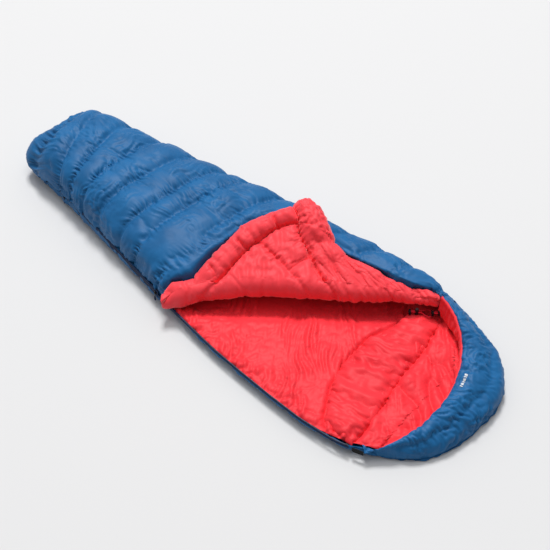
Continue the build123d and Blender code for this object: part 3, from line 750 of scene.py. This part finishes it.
start = np.argmin(np.linalg.norm(LOOP - (0.785, -0.338), axis=1))
stop = np.argmin(np.linalg.norm(LOOP - (0.625, 0.352), axis=1))
outer = resample(LOOP[start:stop + 1], HOOD_ROWS)
along_rim = np.linspace(0, 1, HOOD_ROWS)
turns = rim_turn(0.800, -0.335) + along_rim * (rim_turn(0.640, 0.297) - rim_turn(0.800, -0.335))
rim = RIM_CENTRE + np.stack([RIM_X * np.cos(turns), RIM_Y * np.sin(turns)], -1)
rim = resample(rim, HOOD_ROWS)
rim_z = hermite([0, 0.06, 0.25, 0.5, 0.75, 0.9, 1],
                [0.050, 0.056, 0.074, 0.088, 0.112, 0.134, 0.142], along_rim)
crest = hermite([0, 0.05, 0.2, 0.5, 0.8, 1], [0.008, 0.020, 0.040, 0.056, 0.056, 0.050], along_rim)
bulge = hermite([0, 0.3, 0.5, 0.64, 1], [0.002, -0.003, 0.003, 0.015, 0.024], along_rim)
HOOD_COLS = 46
climb = np.linspace(0, 1, HOOD_COLS)
over = 0.5 - 0.5 * np.cos(np.pi * climb)
hood = outer[:, None] + (rim - outer)[:, None] * over[None, :, None]
foot_z = np.interp(along_rim, [0, 0.06], [0.046, 0.004])
z = foot_z[:, None] + (rim_z - foot_z)[:, None] * climb + crest[:, None] * np.sin(np.pi * climb) ** 0.8
out2 = unit(outer - rim)
belly = bulge[:, None] * np.sin(np.pi * ramp(climb * 1.7))[None, :]
hood = np.concatenate([hood + out2[:, None] * belly[..., None], z[..., None]], -1)
run = np.cumsum(np.linalg.norm(np.gradient(hood[:, 20], axis=0), axis=-1))
long_run = np.broadcast_to(run[:, None], hood.shape[:2])
side_run = np.cumsum(np.linalg.norm(np.gradient(hood, axis=1), axis=-1), axis=1)
flat = sheet(long_run, side_run)
# a seam across the hood near its far end, and one along it
d_cut = np.abs(long_run - 0.97 * run[-1] - 0.10 * (side_run - 0.1))
d_ring = np.abs(climb[None, :] - 0.40) * side_run[:, -1:]
d = np.minimum(d_cut, d_ring)
tube = ramp(np.minimum(climb, 1 - climb) / 0.1)[None, :]
puff = 0.008 * (1 - np.exp(-d / 0.020)) * tube
lift = puff + 0.0020 * waves(flat, 51, 0.022, 30, (1, 0.45, 1)) * np.exp(-d / 0.02) \
    + 0.0028 * waves(flat, 52, 0.060, 26)
size = np.clip(np.linalg.norm(outer - rim, axis=1) / 0.08, 0.12, 1)[:, None]
lift *= size
pins = outermost(d.shape)
lift[pins] = 0
slack = (1.03 + 0.04 * np.exp(-d / 0.03), 1.03 + 0 * d)
sunk = hood - normals(hood) * 0.004
hood = settle(hood, lift, slack, 0.8 * bell(d, 0.003) * (size > 0.4), pins, steps=14,
              push=0.00008, target=sunk)
warp = flat + 0.010 * sheet(waves(flat, 57, 0.08, 10), waves(flat, 58, 0.08, 10))
fine = 0.0050 * billow(waves(warp, 59, 0.036, 16))
fine *= np.clip(waves(flat, 81, 0.15, 10) + 0.7, 0.2, 1.3)
fine += 0.0062 * billow(waves(warp, 60, 0.022, 16, (1, 0.2, 1))) * np.exp(-(d / 0.028) ** 1.5)
hood = wrinkle(hood, fine * size * ramp(np.minimum(climb / 0.06, (1 - climb) / 0.2)))
skin("hood_quilt", hood, faces_of(HOOD_ROWS, HOOD_COLS), BLUE,
     stands_for=("hood_shell", "hood_fill"))

# the label: pale marks that follow the hood
LABEL = plain("label", (0.75, 0.77, 0.80), 0.7, bumps=0.4, size=1500)
LABEL_AT = np.array([0.915, 0.068, 0.122])
near_label = np.linalg.norm(hood - LABEL_AT, axis=-1)
row, column = np.unravel_index(np.argmin(near_label), near_label.shape)
patch = (hood + normals(hood) * 0.0012)[row - 8:row + 7, column:column + 3]
marks = faces_of(*patch.shape[:2])[[0, 2, 3, 5, 7, 8, 10, 12, 13]]
skin("care_label_strip", patch, marks, LABEL, stands_for=("care_label",))

# the hood's red lining: a rolled rim, then down and under the roof of the hood
inner = []
for shift, rise in ((0.009, 0.001), (0.006, 0.006), (0.000, 0.0080), (-0.005, 0.006),
                    (-0.006, 0.000), (-0.003, -0.008)):
    inner.append(np.c_[rim + out2 * shift, rim_z + rise])
room = np.clip(np.linalg.norm(outer - rim, axis=1) - 0.045, 0.004, None)
for t in np.linspace(0, 1, 30)[1:]:
    bow = 0.010 * np.sin(np.pi * t)
    level = rim_z - 0.008 - (rim_z - 0.054) * (1 - (1 - t) ** 1.3)
    reach = np.minimum(room, 0.05) * t ** 1.4 - 0.003 - bow
    inner.append(np.c_[rim + out2 * reach[:, None], level])
inner = np.stack(inner, 1)
run2 = np.cumsum(np.linalg.norm(np.gradient(inner, axis=1), axis=-1), axis=1)
flat = sheet(np.broadcast_to(run[:, None], run2.shape), run2)
lift = 0.0026 * waves(flat, 55, 0.030, 30, (1, 0.3, 1)) + 0.0014 * waves(flat, 56, 0.016, 30)
lift *= np.clip((np.arange(inner.shape[1]) - 3) / 6, 0.1, 1) * size
pins = outermost(lift.shape)
pins[:, :3] = True
lift[pins] = 0
inner = settle(inner, lift, (1.04 + 0 * lift, 1.02 + 0 * lift), None, pins, steps=20, push=0.00003)
inner = inner[17:-4]
# the hood lining takes the darker red copy: painted shade
skin("hood_lining", inner, faces_of(*inner.shape[:2], flip=True), SHADED_RED,
     stands_for=("hood_liner", "hood_hem"))

# ---- the folded-back flap --------------------------------------------------------------
DRAFT_SEAM = mm((118, -44), (143, -24), (176, 12), (208, 50), (248, 104), (284, 147), (344, 195),
                (387, 230), (434, 246), (466, 248))
CROSS_SEAM = mm((438, 325), (452, 300), (463, 279), (467, 248))
COLLAR_SEAM = mm((462, 234), (479, 184), (502, 137), (539, 55), (582, -2), (612, -44))
PANEL_SEAM = mm((330, 170), (360, 135), (394, 103), (438, 52), (476, 8), (512, -36))
BRANCH_SEAM = mm((438, 56), (452, 78), (474, 93), (502, 112))
PIPING = mm((205, 48), (211, 48), (253, 8), (290, -30), (300, -44))
CREASES = [mm((62, 2), (78, -22), (74, -44)), mm((250, 168), (268, 152), (281, 147)),
           mm((377, 262), (384, 240), (390, 231)), mm((150, 70), (168, 48), (172, 20))]

A_ROWS, TAIL_COLS, ARC_COLS, TOP_COLS = 270, 12, 38, 104
ROLL_COLS = TAIL_COLS + ARC_COLS
a_line = np.linspace(-0.022, 0.985, A_ROWS)
mid_b = table([(-30, -66), (-20, -62), (0, -46), (22, -30), (45, -19), (70, -10), (110, 0),
               (740, 0), (820, -10), (900, -28), (990, -44)], a_line)
radius = table([(-30, 5), (-20, 10), (0, 26), (22, 38), (45, 45), (70, 47), (120, 47), (250, 46),
                (400, 48), (600, 46), (700, 41), (800, 30), (850, 23), (900, 17), (950, 12),
                (990, 6)], a_line)
radius = radius * np.sqrt(1 - (1 - ramp((a_line + 0.024) / 0.016)) ** 2)
radius = radius * np.sqrt(1 - (1 - ramp((0.990 - a_line) / 0.03)) ** 2)
radius = radius * (1 + 0.05 * waves(sheet(a_line, 0 * a_line), 61, 0.12, 12))
radius = np.maximum(radius, 0.001)
edge_b = np.interp(a_line, FLAP_EDGE[:, 0], FLAP_EDGE[:, 1])
edge_b = np.maximum(edge_b, mid_b + 0.75 * radius)
phi = np.linspace(-math.radians(92), np.pi / 2, ARC_COLS)
front_b = mid_b[:, None] - radius[:, None] * np.cos(phi)
front_h = radius[:, None] * np.sin(phi)
tail = np.linspace(0.11, 0.006, TAIL_COLS)[None, :]
tail = tail * np.clip(np.minimum(a_line / 0.09, (0.90 - a_line) / 0.14), 0.02, 1)[:, None]
front_b = np.c_[front_b[:, :1] + tail, front_b]
front_h = np.c_[front_h[:, :1] - 0.12 * tail, front_h]
t = 1 - (1 - np.linspace(0, 1, TOP_COLS + 1)[1:]) ** 1.35
top_b = mid_b[:, None] + (edge_b - mid_b)[:, None] * t
along = np.broadcast_to(a_line[:, None], (A_ROWS, ROLL_COLS + TOP_COLS))
up = np.concatenate([front_b, top_b], 1)
ab = np.stack([along, up], -1)
d_out = off(ab, np.c_[a_line, edge_b])
d_draft, d_cross, d_collar = (off(ab, line) for line in (DRAFT_SEAM, CROSS_SEAM, COLLAR_SEAM))
d_panel = np.minimum(off(ab, PANEL_SEAM), off(ab, BRANCH_SEAM))
d_piping = off(ab, PIPING)
d_crease = np.min([off(ab, line) for line in CREASES], axis=0)
d_main = np.minimum(np.minimum(d_draft, d_cross), d_collar)

# which part of the flap a point is on; the tube, the tip and the collar meet at one place
MEET_A, MEET_B = 0.466, 0.248
TIP_SLOPE = 0.35
draft_b = np.interp(along, DRAFT_SEAM[:, 0], DRAFT_SEAM[:, 1], left=-0.2)
collar_a = np.interp(-up, -COLLAR_SEAM[:, 1], COLLAR_SEAM[:, 0])
cross_a = np.interp(-up, -CROSS_SEAM[:, 1], CROSS_SEAM[:, 0])
tube_end = np.where(up > MEET_B, cross_a, MEET_A)
in_tube = (up > draft_b) & (along < tube_end)
in_tip = (up > 0.246 - TIP_SLOPE * (along - MEET_A)) & (along >= tube_end)
in_collar = ~in_tube & ~in_tip & (along > collar_a)
in_panel = ~(in_tube | in_tip | in_collar)


def bump_up(d, width):
    """A quarter round from 0 at the edge to 1 at the width."""
    return (1 - (1 - ramp(d / width)) ** 2) ** 0.5


TUBE_TOP, PANEL_TOP, COLLAR_TOP, TIP_TOP = 0.058, 0.044, 0.042, 0.066
tipness = ease(ramp((up - (0.232 - TIP_SLOPE * (along - MEET_A))) / 0.10 + 0.5))
crown = np.where(in_tube, TUBE_TOP, np.where(
    in_tip | in_collar, COLLAR_TOP + (TIP_TOP - COLLAR_TOP) * tipness, PANEL_TOP))
reach = np.where(in_tube, 0.036, np.where(in_tip | in_collar, 0.029, 0.034))
valley = np.where(in_tube, 0.018, np.where(in_tip | in_collar, 0.016 + 0.010 * tipness, 0.016))
top_h = valley + (crown - valley) * bump_up(d_main, reach)
top_h -= 0.009 * bell(d_panel, 0.014) * in_panel
top_h -= 0.003 * bell(d_piping, 0.006)
top_h -= 0.012 * bell(d_crease, 0.008)
top_h *= bump_up(d_out, 0.036 + 0.009 * tipness * ~in_tube)
from_mid = np.clip(up - mid_b[:, None], 0, None)
near_fold = bell(from_mid, 0.05)
keep_seam = 1 - 0.45 * bell(d_main, 0.012) - 0.2 * bell(d_panel, 0.014)
roll_top = radius[:, None] * keep_seam
top_h = top_h + (np.maximum(roll_top, top_h * 0.6) - top_h) * near_fold
spare = ramp((edge_b - mid_b - 0.75 * radius) / 0.02)[:, None]
share = from_mid / (edge_b - mid_b)[:, None]
round_h = radius[:, None] * np.sqrt(ramp(1 - share ** 2))
top_h = round_h + (top_h - round_h) * spare
raised = np.concatenate([front_h, top_h[:, ROLL_COLS:]], 1)
on_front = np.arange(ROLL_COLS + TOP_COLS)[None, :] < ROLL_COLS
dent = 0.005 * bell(d_main, 0.012) + 0.002 * bell(d_panel, 0.012)
flap = from_fold(along, up, raised)
flap -= normals(flap) * (dent * on_front * (raised > -0.01))[..., None]
flat = sheet(along, up)
tube_way = unit(np.array([0.62, 0.78, 0.0]))
tube_side = np.array([-0.78, 0.62, 0.0])
skew = sheet(flat @ tube_way, flat @ tube_side * 0.3)
fan = sheet(flat @ np.array([0.80, 0.60, 0.0]), flat @ np.array([0.60, -0.80, 0.0]) * 0.16)
lift = 0.0018 * waves(flat, 62, 0.09, 24)
lift += np.where(in_tube | (along < 0.1), 0.0014 * waves(skew, 63, 0.045, 26), 0)
lift += np.where(in_collar, 0.0060 * waves(fan, 64, 0.026, 26), 0)
lift += np.where(in_tip, 0.0050 * waves(flat, 65, 0.026, 26), 0)
lift += np.where(in_panel, 0.0016 * waves(flat, 66, 0.040, 30), 0)
lift *= np.where(in_panel & (d_main > 0.02), 0.7, 1.0)
lift *= np.clip(d_out / 0.012, 0.15, 1) * np.where(on_front, 0.5, 1.0)
pins = outermost(lift.shape)
lift[pins] = 0
slack = (1.05 + 0.05 * np.exp(-d_main / 0.03) + 0.03 * in_collar, 1.035 + 0.03 * in_tip)
tie = 0.8 * bell(d_main, 0.0035) + 0.35 * bell(d_panel, 0.004) \
    + 0.3 * bell(d_crease, 0.004) + 0.15 * bell(d_piping, 0.003)
flap = settle(flap, lift, slack, np.clip(tie, 0, 0.85), pins, steps=14, push=0.00008)
along_tube = sheet(flat @ tube_way, flat @ tube_side * 0.18)
across_panel = sheet(flat @ np.array([0.55, -0.83, 0.0]),
                     flat @ np.array([0.83, 0.55, 0.0]) * 0.18)
nip = 0.0030 * billow(waves(along_tube, 67, 0.016, 16)) * np.exp(-(d_draft / 0.016) ** 1.5)
ticks = 0.0040 * billow(waves(across_panel, 77, 0.018, 16))
nip += ticks * np.exp(-(np.minimum(d_panel, d_collar) / 0.020) ** 1.5)
nip += np.where(in_collar, 0.0062 * billow(waves(fan, 68, 0.034, 10)), 0)
nip += np.where(in_tip, 0.0040 * billow(waves(flat, 69, 0.030, 14)), 0)
tube_folds = billow(waves(skew, 70, 0.036, 12)) * ramp(waves(flat, 72, 0.09, 10) - 0.3)
nip += np.where(in_tube, 0.0024 * tube_folds, 0)
nip += 0.0022 * billow(waves(flat, 74, 0.044, 16)) * ramp(waves(flat, 75, 0.11, 10))
nip *= np.where(on_front, np.where(in_collar, 0.6, 0.35), 1.0)
flap = wrinkle(flap, nip * ramp(d_out / 0.010))
quads = faces_of(A_ROWS, ROLL_COLS + TOP_COLS)


def region(mask):
    """The quads whose first corner is in a part of the flap."""
    return quads.reshape(-1, 4)[mask[:-1, :-1].reshape(-1)]


roll_part = np.broadcast_to(on_front, along.shape)
if normals(flap)[:, ROLL_COLS + 10].mean(axis=0) @ OUT < 0:
    quads = quads[..., ::-1]
parts = (
    ("fold_turn", roll_part, None, ("fold_roll",)),
    ("draft_tube_pad", in_tube & ~roll_part, "flap", ("draft_tube",)),
    ("upper_collar_pad", in_collar & ~roll_part, "flap", ("upper_collar",)),
    ("flap_tip", in_tip & ~roll_part, "flap", ()),
    ("flap_panel", in_panel & ~roll_part, "flap", ("flap_liner",)),
)
# the flap's pieces take the lighter red copy with strong sheen: painted light
for name, mask, body, nodes in parts:
    piece = skin(name, flap, region(mask), RED, body, nodes)
    if body is None:
        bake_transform(piece)

# the flap's blue side, which lies on the upper quilt
rows_b, cols_b = 180, 60
a_back = np.linspace(0.012, 0.955, rows_b)
out_b = np.interp(a_back, FLAP_EDGE[:, 0], FLAP_EDGE[:, 1]) - 0.004
t = np.linspace(0, 1, cols_b)[None, :]
in_b = np.interp(a_back, a_line, mid_b) + 0.002
ab = np.stack([np.broadcast_to(a_back[:, None], (rows_b, cols_b)),
               in_b[:, None] + (np.maximum(out_b, in_b + 0.006) - in_b)[:, None] * t], -1)
edge_d = off(ab, np.c_[a_back, out_b])
lines = np.abs((((ab[..., 0] * 0.62 - ab[..., 1] * 0.78) + 0.02) / 0.125 + 0.5) % 1 - 0.5) * 0.125
low = 0.003 + 0.007 * np.exp(-lines / 0.016)
low = low + 0.0010 * (1 + waves(sheet(ab[..., 0], ab[..., 1]), 71, 0.03, 24))
low = low + 0.010 * np.exp(-edge_d / 0.010)
back = from_fold(ab[..., 0], ab[..., 1], low)
skin("flap_shell_cloth", back, faces_of(rows_b, cols_b, flip=True), BLUE, "flap",
     ("flap_shell", "flap_fill"))

# the flap's half of the zip, on the underside along its edge
zip_line = resample(FLAP_EDGE[(FLAP_EDGE[:, 0] > 0.08) & (FLAP_EDGE[:, 0] < 0.47)], 120)
way = unit(np.gradient(zip_line, axis=0))
inward = np.stack([way[:, 1], -way[:, 0]], -1)


def edge_band(name, near, far, low, high, material, node):
    """A flat band along the flap's edge, between two distances in and two heights."""
    ring = [(near, low), (far, low), (far, high), (near, high), (near, low)]
    path = np.stack([np.c_[zip_line + inward * s, np.full(len(zip_line), h)] for s, h in ring], 1)
    p = from_fold(path[..., 0], path[..., 1], path[..., 2])
    return skin(name, p, faces_of(*p.shape[:2]), material, "flap", (node,))


edge_band("flap_zip_band", 0.004, 0.017, 0.0012, 0.0022, NAVY, "flap_zip_tape")
edge_band("flap_zip_teeth", 0.0016, 0.0042, 0.0006, 0.0032, COIL, "flap_zip_coil")

# ---- cords -----------------------------------------------------------------------------
COLLAR_LOOP = mm((-21, 2.7, 11), (14, 2.7, 11), (26, 7, 8), (42, 16, 3), (56, 8, 2), (57, -10, 2),
                 (46, -21, 2), (28, -14, 6), (14, -2.7, 11), (-21, -2.7, 11))
HOOD_LOOP = mm((-21, 2.7, 11), (10, 2.7, 11), (17, 6, 10), (27, 7, 9), (32, 0, 9), (27, -7, 9),
               (17, -6, 10), (10, -2.7, 11), (-21, -2.7, 11))
CORD_HEADING, CORD = math.radians(40), 0.003


def cord_loop(name, origin, route):
    """A cord that leaves a tunnel, passes its lock, loops round and goes back in."""
    c, s = math.cos(CORD_HEADING), math.sin(CORD_HEADING)
    curve = bpy.data.curves.new(name, "CURVE")
    curve.dimensions = "3D"
    curve.bevel_depth = CORD / 2
    curve.bevel_resolution = 4
    curve.resolution_u = 10
    curve.use_fill_caps = True
    spline = curve.splines.new("NURBS")
    spline.points.add(len(route) - 1)
    places = [(origin[0] + c * x - s * y, origin[1] + s * x + c * y, origin[2] + z)
              for x, y, z in route]
    for point, place in zip(spline.points, places):
        point.co = (*place, 1)
    spline.order_u = 3
    spline.use_endpoint_u = True
    curve.materials.append(CORD_RED)
    piece = bpy.data.objects.new(name, curve)
    SCENE.objects.link(piece)
    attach(piece, "root")
    return piece


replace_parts(cord_loop("collar_cord_loop", (0.593, 0.247, 0.0602), COLLAR_LOOP), "collar_cord")
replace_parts(cord_loop("hood_cord_loop", (0.662, 0.290, 0.066), HOOD_LOOP), "hood_cord")

# ---- finishes of the pieces carried over -----------------------------------------------
FINISH = {
    "zip_tape": NAVY, "zip_coil": COIL, "zip_stop": DARK, "slider_metal": PAINT,
    "pull_tab": NAVY, "black_tape": BLACK, "hook_patch": HOOKS, "lock_plastic": DARK,
    "button_plastic": BUTTON, "spring_steel": STEEL, "cord": CORD_RED, "down": DOWN,
    "mesh": MESH, "shell_fabric": BLUE, "lining_fabric": RED, "label": LABEL,
}
for row in frame["record"]["subparts"]:
    node = frame["nodes"][row["node"]]
    node.data.materials.clear()
    node.data.materials.append(FINISH[row["material_slot"]])

# ---- studio ----------------------------------------------------------------------------
floor_mesh = bpy.data.meshes.new("floor")
FLOOR_HALF = 30
corners = [(x * FLOOR_HALF, y * FLOOR_HALF, 0) for x, y in ((-1, -1), (1, -1), (1, 1), (-1, 1))]
floor_mesh.from_pydata(corners, [], [(0, 1, 2, 3)])
floor = bpy.data.objects.new("floor", floor_mesh)
SCENE.objects.link(floor)
PAPER = plain("paper", (0.66, 0.66, 0.665), 0.9, bumps=0.02, size=40)
floor_mesh.materials.append(PAPER)


def lamp(name, place, aim, size, energy):
    """A square lamp that faces a point."""
    data = bpy.data.lights.new(name, "AREA")
    data.shape, data.size, data.energy = "SQUARE", size, energy
    obj = bpy.data.objects.new(name, data)
    SCENE.objects.link(obj)
    obj.location = place
    obj.rotation_euler = (Vector(place) - Vector(aim)).to_track_quat("Z", "Y").to_euler()
    return obj


key = lamp("key", (-6.3, 6.3, 18.6), (0.0, 0.0, 0.1), 5.0, 3250)
fill = lamp("fill", (0.5, 0.5, 9.5), (0.2, 0.0, 0.0), 4.0, 150)
world = bpy.data.worlds.new("world")
bpy.context.scene.world = world
world.use_nodes = True
sky = world.node_tree
where = sky.nodes.new("ShaderNodeTexCoord")
facing = sky.nodes.new("ShaderNodeVectorMath")
facing.operation = "DOT_PRODUCT"
facing.inputs[1].default_value = (-0.40, 0.24, 0.885)
spread = sky.nodes.new("ShaderNodeMapRange")
fill_in(spread, {"From Min": -0.3, "From Max": 1.0, "To Min": 0.03, "To Max": 0.68})
sky.links.new(where.outputs["Generated"], facing.inputs[0])
sky.links.new(facing.outputs["Value"], spread.inputs["Value"])
sky.links.new(spread.outputs["Result"], sky.nodes["Background"].inputs["Strength"])
sky.nodes["Background"].inputs["Color"].default_value = (1, 1, 1, 1)
